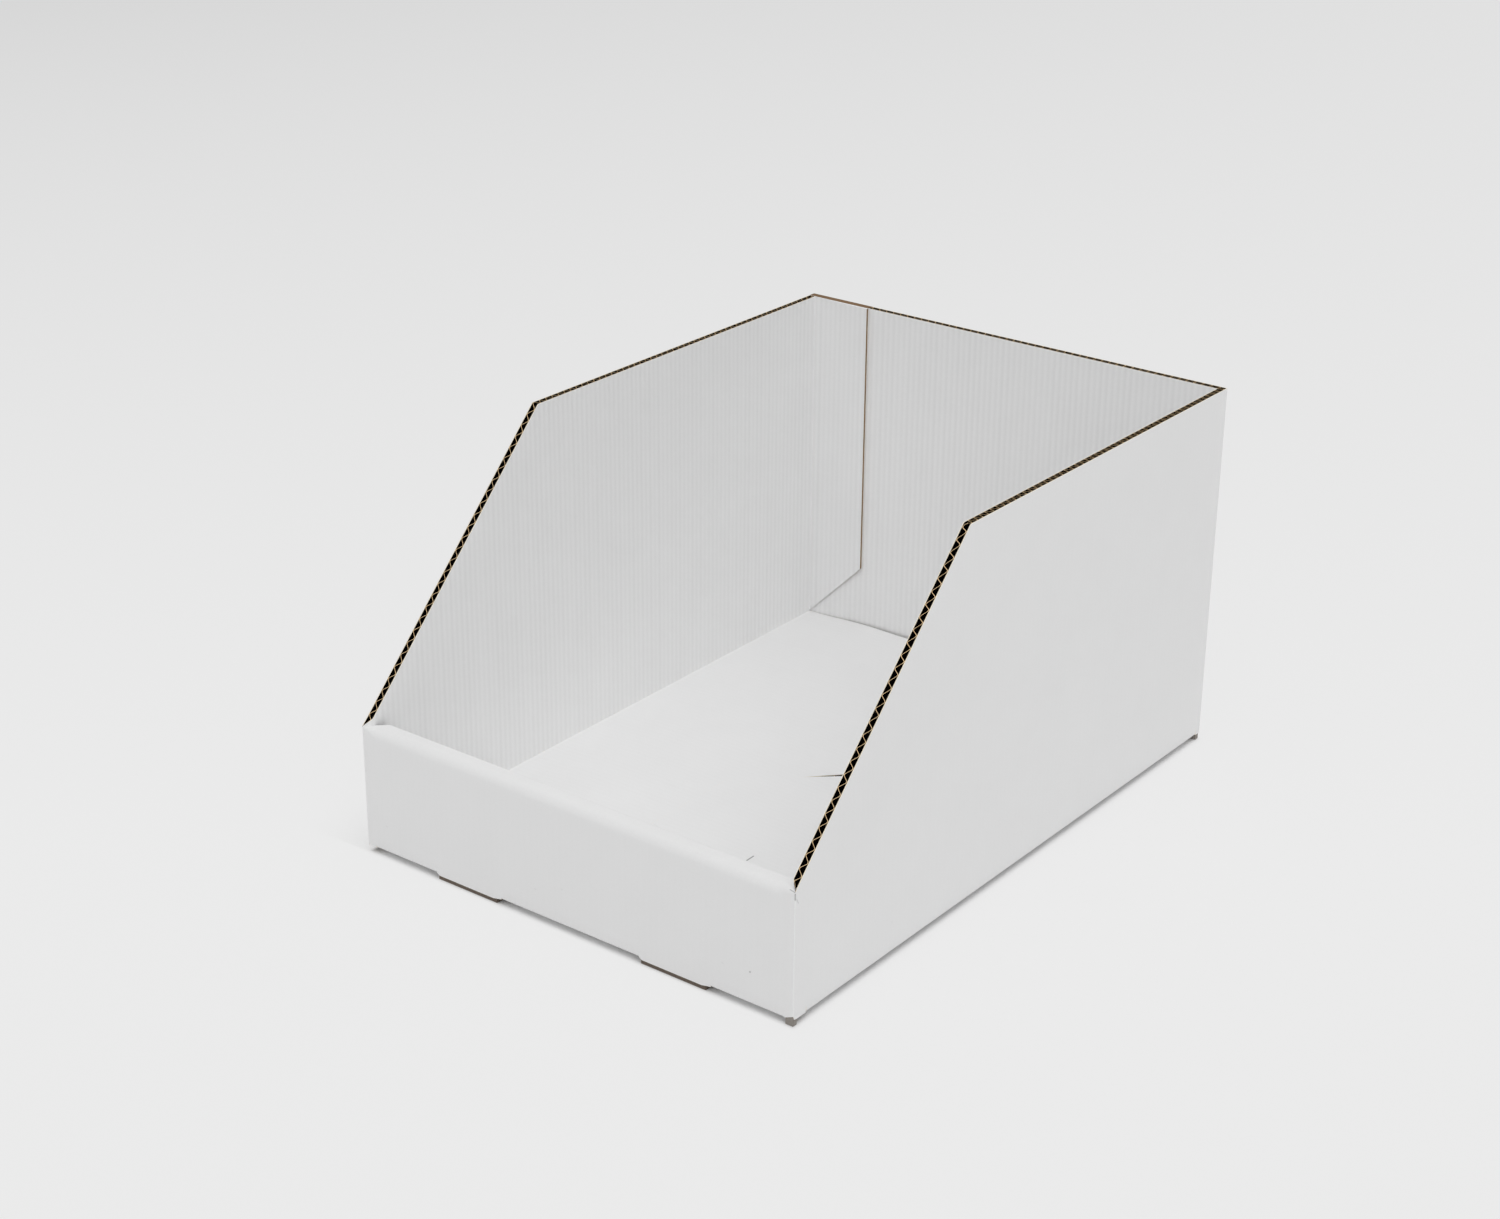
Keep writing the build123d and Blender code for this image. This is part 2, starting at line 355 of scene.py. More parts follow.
corner_foot = np.interp(inside[:, 1:], [-OUT_Y, -OUT_Y + CORNER_RUN], [CORNER_LIFT, RIGHT_LIFT])
foot = np.where(on_side, RIGHT_FOLD_TOP, np.where(on_back, BACK_FOLD_TOP, corner_foot))
pressed = np.clip((-INSIDE_X + GLUED_WIDTH - inside[:, :1]) / PRESS_RUN, 0, 1)
pressed = pressed * (inside[:, 1:] > FLAP_BACK)
stuck = pressed[1:, 0] > 0.5
right_back = corrugated(
    upright(inside, outside, foot, WALL_ROWS), walked(inside, outside), pressed,
    (INSIDE_RELIEF, OUTSIDE_RELIEF),
    [WHITE_SKIN, GLUED_EDGE, CUT_MEDIUM, np.where(stuck, GLUED_EDGE, CUT_MEDIUM)],
    [WHITE_SKIN, CUT_LINER, CUT_LINER, np.where(stuck, GLUED_EDGE, CUT_LINER)],
)
board_piece("right_and_back_walls", right_back)


# Left wall and glue flap. The left panel of the same sheet; its narrow end flap is pressed thin,
# cut off slantwise at the foot and glued flat to the inside of the back wall.
FLAP_THICK = 1.2
FLAP_THIN = 0.5
LEFT_LIFT = 1.6
LEFT_FOLD_TOP = LEFT_LIFT + BOARD + FOLD_CREASE
LEFT_CORNER = [1.0 - OUT_Y, 3.0 - OUT_Y]
GLUE_LINE = 0.02


def smooth_step(share):
    """0 to 1 with level ends: 3 s^2 - 2 s^3."""
    share = np.clip(share, 0, 1)
    return share * share * (3 - 2 * share)


glue_steps = int(GLUED_WIDTH / FLUTE_PITCH * SAMPLES_PER_FLUTE)
stuck_y = INSIDE_Y - GLUE_LINE
flap_x = np.linspace(GLUED_WIDTH - INSIDE_X, CREASE_IN - INSIDE_X, glue_steps)
flap_y = stuck_y - FLAP_THIN - (FLAP_THICK - FLAP_THIN) * smooth_step((flap_x + INSIDE_X) / GLUED_WIDTH)
inner_turn = (CREASE_IN - INSIDE_X, stuck_y - FLAP_THIN - CREASE_IN)
outside = joined([
    np.linspace((GLUED_WIDTH - INSIDE_X, stuck_y), (CREASE_OUT - OUT_X, stuck_y), glue_steps),
    arc((CREASE_OUT - OUT_X, stuck_y - CREASE_OUT), CREASE_OUT, 90, 180),
    np.linspace((-OUT_X, stuck_y - CREASE_OUT), (-OUT_X, straight_y), side_steps),
    arc((CREASE_OUT - OUT_X, straight_y), CREASE_OUT, 180, 225),
])
inside = joined([
    np.stack([flap_x, flap_y], axis=1),
    arc(inner_turn, CREASE_IN, 90, 180),
    np.linspace((-INSIDE_X, inner_turn[1]), (-INSIDE_X, full_y), full_steps),
    np.linspace((-INSIDE_X, full_y), outside[-1] + (TIP_THICK, TIP_THICK), tip_steps),
])
on_flap = np.arange(len(inside))[:, None] < glue_steps
on_side = (outside[:, 1:] > FLAP_FRONT) & (inside[:, 1:] < inner_turn[1])
corner_foot = np.interp(inside[:, 1:], LEFT_CORNER, [FRONT_LIFT, LEFT_LIFT])
slant = LEFT_FOLD_TOP + inside[:, :1] + INSIDE_X
foot = np.where(on_flap, slant, np.where(on_side, LEFT_FOLD_TOP, corner_foot))
white_flap = on_flap[1:, 0]
left_glue = corrugated(
    upright(inside, outside, foot, WALL_ROWS), walked(inside, outside), on_flap * 1.0,
    (INSIDE_RELIEF, OUTSIDE_RELIEF),
    [GLUED_EDGE, WHITE_SKIN, np.where(white_flap, GLUED_EDGE, CUT_MEDIUM),
     np.where(white_flap, WHITE_SKIN, CUT_MEDIUM)],
    [CUT_LINER, WHITE_SKIN, np.where(white_flap, GLUED_EDGE, CUT_LINER),
     np.where(white_flap, WHITE_SKIN, CUT_LINER)],
)
board_piece("left_wall_and_glue_flap", left_glue)


# Rolled front. The front panel of the sheet bends over softly at the top and tucks down behind
# itself; two straight lips stay on it where the slots of the base are cut, and two tabs stand in them.
# The lips end in a dark grey-brown block, partly their raw brown edge and partly painted shade of the
# gap under them, and three of the wall corners in a grey block, partly raw edge and partly painted shade
# of the gap under the corner.
ROLL_WIDTH = 9.0
ROLL_ROUND = 3.4
ROLL_BACK_ROUND = 2.2
ROLL_START = 47.5
ROLL_STEPS = 9
FACE_STEP = 3.0
SOFT_STATIONS = (3.5, 4.0, 4.5, 5.0, 6.0)
SHARP_STATIONS = (0.7, 1.35, 2.0, 4.0, 6.0)
INNER_STATIONS = (3.5, 4.0, 4.4, 4.8, 5.2)
SHARP_ROUND = 0.5
INNER_ROUND = 0.2
SHARPEN_FROM = 92.0
SHARPEN_STOP = 0.5
KNEE_HEIGHT = 14.0
KNEE_ROUND = 12.0
TAB_OFFSET = 48.5
SLOT_WIDTH = 32.0
LIP_DROP = 0.8
LIP_START_RUN = 1.3
LIP_END_RUN = 4.0
LIP_RAW_START = 0.6
LIP_RAW_END = 1.6
LIP_RAW_STEPS = 9
CUT_STEP = 0.01
RAW_TOP = 4.8
RAW_INSET = 0.35
RAW_OVERLAP = 0.1
CORNER_START = 0.4
CORNER_REACH = 2.4
CORNER_INNER_REACH = 2.2
CORNER_DEPTH = 1.6
TABLE_GAP = 0.05
STRIP_INSET = 4.0
STRIP_PLAY = 0.05
STRIP_FRONT = 0.6
STRIP_SLANT = 7.0
STRIP_HOLD = 1.5
SLANT_DEPTH = 6.0
LEFT_SLANT = 3.6
RIGHT_SLANT = 0.3
FRONT_RELIEFS = (0.02, 0.01)
PANEL_SAMPLES = 4
CREASE_COLUMNS = 9
FRONT_FOLD_TOP = FRONT_LIFT + BOARD + FOLD_CREASE
tuck_foot = FRONT_LIFT + BOARD + TUCK_ROOM


def rounded_line(corners, radii):
    """A line through corners, each rounded by a circle arc that touches both its sides."""
    corners = np.array(corners, float)
    pieces = [corners[:1]]
    for corner, before, after, radius in zip(corners[1:-1], corners, corners[2:], radii):
        back = (before - corner) / np.linalg.norm(before - corner)
        ahead = (after - corner) / np.linalg.norm(after - corner)
        half = np.arccos(np.clip(back @ ahead, -1, 1)) / 2
        middle = corner + (back + ahead) / np.linalg.norm(back + ahead) * radius / np.sin(half)
        first = corner + back * radius / np.tan(half) - middle
        last = corner + ahead * radius / np.tan(half) - middle
        sweep = np.pi - 2 * half
        turn = np.linspace(0, 1, ROLL_STEPS)[:, None]
        around = (first * np.sin((1 - turn) * sweep) + last * np.sin(turn * sweep)) / np.sin(sweep)
        pieces.append(middle + around)
    pieces.append(corners[-1:])
    return np.concatenate(pieces)


def front_section(inset, stations, radii):
    """Section of the front panel, inset from its outside: up the face, over the roll, down behind it.

    The stations are places along the top strip, counted back from the face.
    """
    face = inset - OUT_Y
    top = FRONT_HEIGHT - inset
    strip = [(station - OUT_Y, top) for station in stations]
    behind = ROLL_WIDTH - inset - OUT_Y
    tucked = TUCK_ROOM + BOARD - inset - INSIDE_Y
    rise = [(face, FRONT_FOLD_TOP), (face, FRONT_FOLD_TOP + FACE_STEP), (face, FRONT_HEIGHT / 2)]
    roll = rounded_line([(face, ROLL_START), (face, top), strip[0]], radii[:1])
    tuck = [strip[-1], (behind, top), (tucked, KNEE_HEIGHT), (tucked, tuck_foot)]
    return np.concatenate([rise, roll, strip[1:-1], rounded_line(tuck, radii[1:])])


def front_panel(across, first, last):
    """Surface of the front panel: its section carried over x, from the inside to the outside line.

    Towards the corners the roll sharpens, so that it meets the tips of the side walls, and the ends of
    the top strip slant off from these walls, the left one more; lower down the tucked panel fills the
    room between them. Past the start of the crease the face draws back along the crease's arc. first
    and last are the heights of the two end rows.
    """
    soft = front_section(0.0, SOFT_STATIONS, (ROLL_ROUND, ROLL_BACK_ROUND, KNEE_ROUND))
    sharp = front_section(0.0, SHARP_STATIONS, (SHARP_ROUND, ROLL_BACK_ROUND, KNEE_ROUND))
    inner = front_section(BOARD, INNER_STATIONS, (INNER_ROUND, INNER_ROUND, KNEE_ROUND))
    aside = np.abs(across)
    sharpened = smooth_step((aside - SHARPEN_FROM) / (front_half - SHARPEN_FROM - SHARPEN_STOP))
    outer = soft + (sharp - soft) * sharpened[..., None]
    slant_half = INSIDE_X - np.where(across < 0, LEFT_SLANT, RIGHT_SLANT)
    hold = slant_half - STRIP_HOLD
    back = np.clip((sharp[:, 0] + OUT_Y - STRIP_FRONT) / (STRIP_SLANT - STRIP_FRONT), 0, 1)
    sunk = smooth_step((FRONT_HEIGHT - sharp[:, 1]) / SLANT_DEPTH)
    wide_end = front_half + (slant_half - front_half) * back
    wide_end = wide_end + (strip_end - wide_end) * sunk * back
    narrow_end = np.minimum(strip_end, wide_end)

    def surface(share):
        share = np.broadcast_to(share, across.shape)
        line = inner + (outer - inner) * share[..., None]
        end = narrow_end + (wide_end - narrow_end) * share
        x = np.where(aside <= hold, aside, hold + (aside - hold) * (end - hold) / (front_half - hold))
        past = np.clip(x - OUT_X + CREASE_OUT, 0, None)
        drawn_back = CREASE_OUT - np.sqrt(CREASE_OUT ** 2 - past ** 2)
        y = np.maximum(line[..., 0], drawn_back + BOARD * (1 - share) - OUT_Y)
        height = line[..., 1].copy()
        height[:, 0] = first[:, 0]
        height[:, -1] = last[:, 0]
        return np.stack([np.sign(across) * x, y, height], axis=-1)

    return surface


def foot_block(outer_line, inner_line, finish):
    """Closed block between two lines seen from above, from just over the table up into the wall."""
    plan = np.stack([outer_line, inner_line], axis=1)
    low = np.concatenate([plan, np.full((len(plan), 2, 1), TABLE_GAP)], axis=-1)
    high = np.concatenate([plan, np.full((len(plan), 2, 1), RAW_TOP)], axis=-1)
    return sheet(low, high, [finish] * 6, (0.0, 0.0))


front_half = OUT_X - CREASE_OUT * (1 - np.sqrt(0.5))
strip_half = OUT_X - STRIP_INSET
strip_end = INSIDE_X - STRIP_PLAY
slot_out = TAB_OFFSET + SLOT_WIDTH / 2
slot_in = TAB_OFFSET - SLOT_WIDTH / 2
stops = [slot_in, slot_in + CUT_STEP, slot_out - CUT_STEP, slot_out, strip_half, strip_half + CUT_STEP]
stops = np.concatenate([stops, np.linspace(OUT_X - CREASE_OUT, front_half, CREASE_COLUMNS)])
lip_stops = [-slot_out + LIP_START_RUN, -slot_in - LIP_END_RUN]
lip_stops += [slot_in + LIP_START_RUN, slot_out - LIP_END_RUN]
flat_steps = 1 + PANEL_SAMPLES * int(2 * strip_half / FLUTE_PITCH)
flat_part = np.linspace(-strip_half, strip_half, flat_steps)
across = np.unique(np.round(np.concatenate([-stops, flat_part, lip_stops, stops]), 5))[:, None]
in_slot = np.abs(np.abs(across) - TAB_OFFSET) < SLOT_WIDTH / 2
lip_line = [-slot_out, *lip_stops[:2], -slot_in, slot_in, *lip_stops[2:], slot_out]
lip_foot = FRONT_LIFT - LIP_DROP * np.interp(across, lip_line, [0, 1, 1, 0, 0, 1, 1, 0])
corner_lift = np.interp(across, [strip_half, OUT_X], [FRONT_LIFT, CORNER_LIFT])
wall_foot = np.where(np.abs(across) <= strip_half, FRONT_FOLD_TOP, corner_lift)
wall_foot = np.where(in_slot, lip_foot, wall_foot)
tab_foot = np.where(in_slot, TUCK_ROOM, tuck_foot)
front_sheets = corrugated(
    front_panel(across, wall_foot, tab_foot), across, 0 * across, FRONT_RELIEFS,
    [WHITE_SKIN, WHITE_SKIN, CUT_MEDIUM, CUT_MEDIUM],
    [WHITE_SKIN, WHITE_SKIN, CUT_LINER, CUT_LINER],
)
# The lip blocks stand set back in the gap under the lips; their dark grey-brown is partly raw edge,
# partly painted shade.
for lip_start, lip_end in ((lip_stops[0], lip_stops[1]), (lip_stops[2], lip_stops[3])):
    lip_x = np.linspace(lip_start - LIP_RAW_START, lip_end + LIP_RAW_END, LIP_RAW_STEPS)
    lip_outer = np.stack([lip_x, np.full(LIP_RAW_STEPS, RAW_INSET - OUT_Y)], axis=1)
    lip_inner = np.stack([lip_x, np.full(LIP_RAW_STEPS, -INSIDE_Y - RAW_OVERLAP)], axis=1)
    front_sheets.append(foot_block(lip_outer, lip_inner, RAW_EDGE_AND_SHADE))
board_piece("rolled_front", front_sheets)

# The corner blocks fill the gap under three lifted wall corners; their grey is partly raw edge, partly
# painted shade.
corner_feet = []
for side, end in ((1, -1), (1, 1), (-1, 1)):
    around = arc((OUT_X - CREASE_OUT, CREASE_OUT - OUT_Y), CREASE_OUT - RAW_INSET, -90, 0)
    outer_start = (strip_half + CORNER_START, RAW_INSET - OUT_Y)
    outer_end = (OUT_X - RAW_INSET, CORNER_REACH - OUT_Y)
    outer_line = np.concatenate([[outer_start], around, [outer_end]])
    inner_start = (strip_half + CORNER_START, CORNER_INNER_REACH - OUT_Y)
    inner_end = (OUT_X - CORNER_DEPTH, CORNER_REACH - OUT_Y)
    inner_line = np.linspace(inner_start, inner_end, len(outer_line))
    turned = np.array([side, -end])
    order = side * -end
    corner_outer = (outer_line * turned)[::order]
    corner_feet.append(foot_block(corner_outer, (inner_line * turned)[::order], CORNER_EDGE_AND_SHADE))
board_piece("corner_feet_edge_and_shade", corner_feet)


# Front and back base flaps. They fold in first and lie lowest, on the table; each is cut square on
# its glued side and slantwise on the other, and the front one has a slot for each tab.
END_FLAP_DEPTH = 72.0
GLUED_EDGE_SHARE = 0.55
GLUED_CORNER_SHARE = 0.45
SLANT_CORNER_SHARE = 0.2
SLANT_EDGE_DEPTH = 4.0
FOLD_ROUND = 0.8
END_FLAP_SETTLE = 6.0
EDGE_MARGIN = 1.0
FOLD_STEPS = 7
NEAR_STEPS = 9
FAR_STEPS = 4
LEAST_COLUMNS = 8
FLAP_RELIEFS = (0.02, 0.02)
CUT_CORE = [CUT_MEDIUM] * 4
CUT_LINERS = [CUT_LINER] * 4


def fold_lines(lift):
    """Outside and inside of a bottom fold, as distance in from the wall and height.

    The outside comes straight down and turns in by a quarter circle; the inside is a sharp crease.
    """
    turn = np.linspace(0, np.pi / 2, FOLD_STEPS)
    outside_in = np.concatenate([[0], FOLD_ROUND * (1 - np.cos(turn)), [BOARD + FOLD_CREASE]])
    outside_z = lift + np.concatenate([[BOARD + FOLD_CREASE], FOLD_ROUND * (1 - np.sin(turn)), [0]])
    turn = np.linspace(0, np.pi / 2, FOLD_STEPS + 2)
    inside_in = BOARD + FOLD_CREASE * (1 - np.cos(turn))
    inside_z = lift + BOARD + FOLD_CREASE * (1 - np.sin(turn))
    return outside_in[None], outside_z[None], inside_in[None], inside_z[None]


def folded_flap(place, u, end, lift, rise, settle):
    """A flap folded in from a wall: the bottom fold, then a panel that rises by rise to its edge at end.

    place(u, inward, height) puts a point of the flap, given in from the wall, into the box.
    """
    outside_in, outside_z, inside_in, inside_z = fold_lines(lift)
    start = BOARD + FOLD_CREASE
    near = np.linspace(0, 1, NEAR_STEPS)[None, 1:] * np.minimum(settle, end - start - EDGE_MARGIN)
    far = np.linspace(0, 1, FAR_STEPS)[None, 1:]
    panel = start + np.concatenate([near, near[:, -1:] + (end - start - near[:, -1:]) * far], axis=1)
    panel_z = lift + rise * smooth_step((panel - start) / settle)

    def surface(share):
        share = np.broadcast_to(share, u.shape)
        fold_in = inside_in + (outside_in - inside_in) * share
        fold_z = inside_z + (outside_z - inside_z) * share
        inward = np.concatenate([fold_in, panel], axis=1)
        height = np.concatenate([fold_z, panel_z + BOARD * (1 - share)], axis=1)
        return place(u, inward, height)

    return corrugated(surface, u, 0 * u, FLAP_RELIEFS, CUT_CORE, CUT_LINERS)


def end_flap(side, lift, x_start, x_end):
    """A stretch of an end flap, on the front wall for side 1 and turned about for the back wall."""
    columns = max(LEAST_COLUMNS, int((x_end - x_start) / FLUTE_PITCH * PANEL_SAMPLES))
    x = np.linspace(x_end, x_start, columns)[:, None]
    shares = np.array([-1.0, -GLUED_CORNER_SHARE, SLANT_CORNER_SHARE, 1.0])
    depths = [END_FLAP_DEPTH * GLUED_EDGE_SHARE, END_FLAP_DEPTH, END_FLAP_DEPTH, SLANT_EDGE_DEPTH]
    end = BOARD + np.interp(x, END_FLAP_HALF * shares, depths)

    def place(u, inward, height):
        wide = np.repeat(u, inward.shape[1], axis=1)
        return np.stack([side * wide, side * (inward - OUT_Y), height], axis=-1)

    return folded_flap(place, x, end, lift, -lift, END_FLAP_SETTLE)


front_flap = end_flap(1, FRONT_LIFT, -strip_half, -slot_out)
front_flap += end_flap(1, FRONT_LIFT, -slot_in, slot_in)
front_flap += end_flap(1, FRONT_LIFT, slot_out, strip_half)
board_piece("front_base_flap", front_flap)
board_piece("back_base_flap", end_flap(-1, BACK_LIFT, -END_FLAP_HALF, END_FLAP_HALF))


# Left and right base flaps. They fold in over the others, rise by one board and lock against each
# other along a seam that runs slantwise through the middle and gapes towards the back.
LOCK_REACH = 22.0
LOCK_START = 0.4
LEFT_LOCK_END = 24.0
RIGHT_LOCK_END = 20.0
SEAM_GAP = 0.02
SEAM_END_GAP = 0.4
SIDE_FLAP_SETTLE = 34.0
FLAP_DRAFT = 2.4


def left_seam(y):
    """Seam edge of the left flap: straight, 45 degrees to the middle, a little steeper, straight."""
    return np.interp(y, [-LOCK_REACH, LOCK_START, LEFT_LOCK_END], [-LOCK_REACH, LOCK_START, LOCK_REACH])


def right_seam(y):
    """Seam edge of the right flap: against the left one in front, drawing away behind the middle."""
    stops = [-LOCK_REACH + SEAM_GAP, LOCK_START + SEAM_GAP, LOCK_REACH + SEAM_END_GAP]
    return np.interp(y, [-LOCK_REACH, LOCK_START, RIGHT_LOCK_END], stops)


def side_flap(side, seam, lift):
    """A side wall's flap; its two ends draw in, so the gap at the end walls widens to the middle."""
    columns = 1 + PANEL_SAMPLES * int(2 * OUT_Y / FLUTE_PITCH)
    y = np.linspace(FLAP_FRONT, FLAP_BACK, columns)[::-side, None]
    middle = (FLAP_FRONT + FLAP_BACK) / 2
    end = OUT_X - side * seam(y)

    def place(u, inward, height):
        draw = np.clip((inward - BOARD) / INSIDE_X, 0, None) * FLAP_DRAFT
        depth = middle + (u - middle) * (1 - draw / (FLAP_BACK - middle))
        return np.stack([side * (OUT_X - inward), depth, height], axis=-1)

    return folded_flap(place, y, end, lift, BOARD - lift, SIDE_FLAP_SETTLE)


board_piece("left_base_flap", side_flap(-1, left_seam, LEFT_LIFT))
board_piece("right_base_flap", side_flap(1, right_seam, RIGHT_LIFT))


# Handling marks and painted shade. Two dark lines on the floor are painted shade: a short one for a
# small gap in the seam of the base flaps and a faint one along the edge of a flap. A few specks on the
# outside and fine cracks where the rolled strip is stretched over the right front corner are marks on
# the board. Each is a line in space that darkens the paper.
def mark_and_shade_group():
    """Darkens a running shade near a line: by Depth on it, smoothly to nothing at Reach from it."""
    group = bpy.data.node_groups.new("handling_mark_and_shade_line", "ShaderNodeTree")
    group.interface.new_socket("Shade", in_out="INPUT", socket_type="NodeSocketFloat")
    group.interface.new_socket("Start", in_out="INPUT", socket_type="NodeSocketVector")
    group.interface.new_socket("Span", in_out="INPUT", socket_type="NodeSocketVector")
    group.interface.new_socket("Reach", in_out="INPUT", socket_type="NodeSocketFloat")
    group.interface.new_socket("Depth", in_out="INPUT", socket_type="NodeSocketFloat")
    group.interface.new_socket("Shade", in_out="OUTPUT", socket_type="NodeSocketFloat")
    nodes = group.nodes
    link = group.links.new
    given = nodes.new("NodeGroupInput")
    result = nodes.new("NodeGroupOutput")
    place = nodes.new("ShaderNodeTexCoord")
    offset = nodes.new("ShaderNodeVectorMath")
    offset.operation = "SUBTRACT"
    along = nodes.new("ShaderNodeVectorMath")
    along.operation = "DOT_PRODUCT"
    whole = nodes.new("ShaderNodeVectorMath")
    whole.operation = "DOT_PRODUCT"
    share = math_node(group, "DIVIDE", along.outputs["Value"], whole.outputs["Value"])
    share.node.use_clamp = True
    nearest = nodes.new("ShaderNodeVectorMath")
    nearest.operation = "SCALE"
    away = nodes.new("ShaderNodeVectorMath")
    away.operation = "DISTANCE"
    mask = nodes.new("ShaderNodeMapRange")
    mask.interpolation_type = "SMOOTHSTEP"
    mask.inputs["From Min"].default_value = 0.0
    mask.inputs["To Max"].default_value = 0.0
    link(place.outputs["Object"], offset.inputs[0])
    link(given.outputs["Start"], offset.inputs[1])
    link(offset.outputs[0], along.inputs[0])
    link(given.outputs["Span"], along.inputs[1])
    link(given.outputs["Span"], whole.inputs[0])
    link(given.outputs["Span"], whole.inputs[1])
    link(given.outputs["Span"], nearest.inputs[0])
    link(share, nearest.inputs["Scale"])
    link(offset.outputs[0], away.inputs[0])
    link(nearest.outputs[0], away.inputs[1])
    link(away.outputs["Value"], mask.inputs["Value"])
    link(given.outputs["Reach"], mask.inputs["From Max"])
    link(given.outputs["Depth"], mask.inputs["To Min"])
    darker = math_node(group, "SUBTRACT", given.outputs["Shade"], mask.outputs[0])
    link(darker, result.inputs["Shade"])
    return group


def paint_marks_and_shade(material, group, marks):
    """Chains one group node for each mark and scales the paper's colour by the shade that is left."""
    tree = material.node_tree
    shader = tree.nodes["Principled BSDF"]
    tint = tree.nodes.new("ShaderNodeVectorMath")
    tint.operation = "SCALE"
    tree.links.new(shader.inputs["Base Color"].links[0].from_socket, tint.inputs[0])
    last = None
    for start, end, reach, depth in marks:
        mark = tree.nodes.new("ShaderNodeGroup")
        mark.node_tree = group
        mark.inputs["Shade"].default_value = 1.0
        mark.inputs["Start"].default_value = Vector(start) * MM
        mark.inputs["Span"].default_value = (Vector(end) - Vector(start)) * MM
        mark.inputs["Reach"].default_value = reach * MM
        mark.inputs["Depth"].default_value = depth
        if last:
            tree.links.new(last.outputs["Shade"], mark.inputs["Shade"])
        last = mark
    tree.links.new(last.outputs["Shade"], tint.inputs["Scale"])
    tree.links.new(tint.outputs[0], shader.inputs["Base Color"])


floor_z = 2 * BOARD
paint_marks_and_shade(white_liner, mark_and_shade_group(), [
    # Painted shade: a short dark line for a small gap in the seam of the base flaps.
    ((24.1, -67.4, floor_z), (24.0, -62.9, floor_z), 0.50, 0.70),
    # Painted shade: a faint line along the edge of a base flap.
    ((-21.0, -66.5, floor_z), (-11.5, -69.3, floor_z), 0.60, 0.03),
    ((81.4, -OUT_Y, 14.8), (81.6, -OUT_Y, 14.9), 0.50, 0.45),
    ((69.5, -OUT_Y, 14.0), (69.9, -OUT_Y, 14.0), 0.70, 0.05),
    ((-90.0, -OUT_Y, 13.4), (-89.6, -OUT_Y, 13.4), 0.70, 0.05),
    ((-3.1, -OUT_Y, 17.1), (-2.7, -OUT_Y, 17.1), 0.60, 0.06),
    ((-15.9, -OUT_Y, 12.8), (-15.5, -OUT_Y, 12.8), 0.60, 0.06),
    ((OUT_X, -82.6, 14.6), (OUT_X, -82.2, 14.6), 0.70, 0.04),
    ((97.2, -139.2, FRONT_HEIGHT), (99.6, -139.8, FRONT_HEIGHT), 0.40, 0.50),
    ((99.9, -139.9, 51.4), (99.9, -139.9, 49.2), 0.40, 0.55),
    ((OUT_X, -139.2, 49.2), (OUT_X, -138.2, 47.3), 0.36, 0.20),
])


# Table and light. A pale seamless sweep that darkens a little to the back and to the left. A big soft
# lamp stands in front to the right with a weaker one on each side, and fills open the back and the
# left; the table shows the box's shadow close around it, and further out on its left.
TABLE_HALF = 20.0
TABLE_DROP = 0.0002
TABLE_TURN = -37.4
TONE_START = -0.05
TONE_END = 2.4
TONE_LEAN = -0.5
SHADE_INNER = -0.002
SHADE_OUTER = 0.0015
LEFT_SHADE_SHARE = 0.037
PLAIN_SHARE = 0.9
SKY_STRENGTH = 0.40
LAMP_ANGLE = 60


